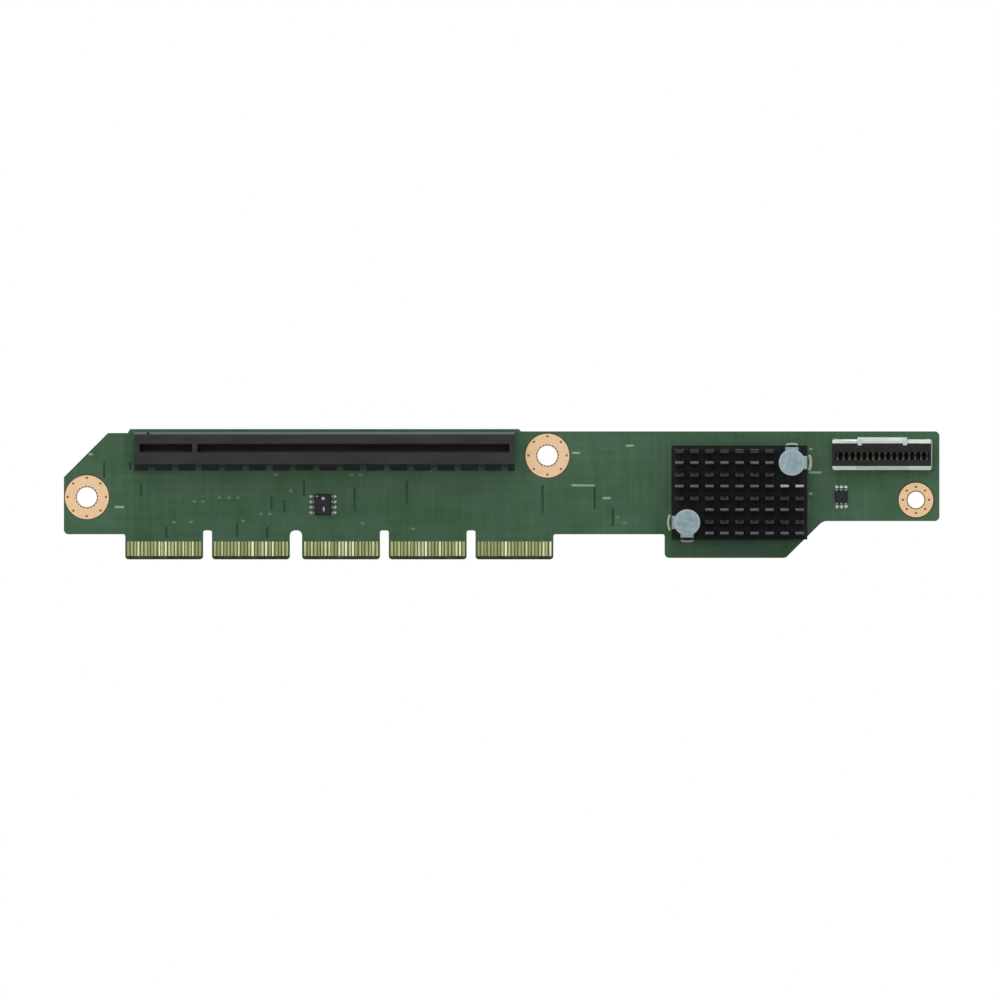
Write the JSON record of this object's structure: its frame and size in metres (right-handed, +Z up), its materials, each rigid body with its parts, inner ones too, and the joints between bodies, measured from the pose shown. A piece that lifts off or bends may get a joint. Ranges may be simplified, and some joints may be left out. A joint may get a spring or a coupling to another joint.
{
  "type": "server riser card",
  "caption": "Long narrow circuit board on a notched gold card edge, with a long card slot, a finned heat sink on spring push pins, a cable connector and copper-ringed mounting holes.",
  "frame": {"origin": "middle of the card edge's lower rim, in the middle plane of the board", "axes": "+X along the card, to the right as seen from the component face; +Z up from the card edge; the component face looks towards -Y"},
  "size_m": [0.2054, 0.0157, 0.0306],
  "materials": {
    "solder_mask": "satin",
    "bare_copper": "satin",
    "gold": "polished",
    "slot_plastic": "satin",
    "spring_gold": "satin",
    "chip_laminate": "satin",
    "silicon": "polished",
    "thermal_gel": "matte",
    "black_anodised": "anodised black",
    "pin_nylon": "satin",
    "spring_steel": "drawn",
    "connector_plastic": "matte",
    "shell_steel": "tin plated",
    "chip_epoxy": "matte",
    "tinned_lead": "tinned",
    "capacitor_ceramic": "matte"
  },
  "bodies": {
    "root": {"board": "solder_mask", "left_hole_rings": "bare_copper", "middle_hole_rings": "bare_copper", "right_hole_rings": "bare_copper", "edge_contacts_front": "gold", "edge_contacts_back": "gold", "slot_housing": "slot_plastic", "slot_contacts_upper": "spring_gold", "slot_contacts_lower": "spring_gold", "repeater_substrate": "chip_laminate", "repeater_die": "silicon", "thermal_pad": "thermal_gel", "heat_sink": "black_anodised", "upper_push_pin": "pin_nylon", "lower_push_pin": "pin_nylon", "upper_pin_spring": "spring_steel", "lower_pin_spring": "spring_steel", "cable_housing": "connector_plastic", "cable_shell": "shell_steel", "cable_contacts_upper": "spring_gold", "cable_contacts_lower": "spring_gold", "eight_lead_chip": "chip_epoxy", "eight_lead_chip_leads": "tinned_lead", "six_lead_chip": "chip_epoxy", "six_lead_chip_leads": "tinned_lead", "capacitor_bodies": "capacitor_ceramic", "capacitor_ends": "tinned_lead"}
  },
  "joints": []
}
